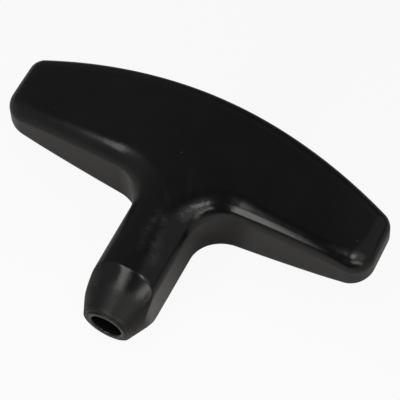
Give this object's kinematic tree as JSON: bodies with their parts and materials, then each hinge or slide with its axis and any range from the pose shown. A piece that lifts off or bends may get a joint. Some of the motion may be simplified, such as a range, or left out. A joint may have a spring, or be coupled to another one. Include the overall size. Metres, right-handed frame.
{
  "type": "recoil starter pull grip",
  "caption": "Black T-shaped pull grip for a starter rope: moulded arms and stem, flanged rope bush in the conical nose, knot washer and push-in palm plug.",
  "frame": {"origin": "under the middle of the grip, on the surface that it lies on", "axes": "+X across the arms, +Y from the nose towards the palm side, +Z out of the front face"},
  "size_m": [0.095, 0.0602, 0.0218],
  "materials": {
    "grip_black": "glossy black moulding with faint flow marks",
    "bush_black": "black, polished by the rope",
    "washer_steel": "zinc-plated stamped steel",
    "plug_black": "satin black moulding"
  },
  "bodies": {
    "grip": {"grip_body": "grip_black", "nose_bush": "bush_black"},
    "washer": {"knot_washer": "washer_steel"},
    "plug": {"palm_plug": "plug_black"}
  },
  "joints": [
    {"name": "plug_pull", "type": "slide", "parent": "grip", "child": "plug", "axis": [0, 1, 0], "range_m": [0, 0.03]},
    {"name": "washer_slide", "type": "slide", "parent": "grip", "child": "washer", "axis": [0, 1, 0], "range_m": [0, 0.0113]}
  ]
}
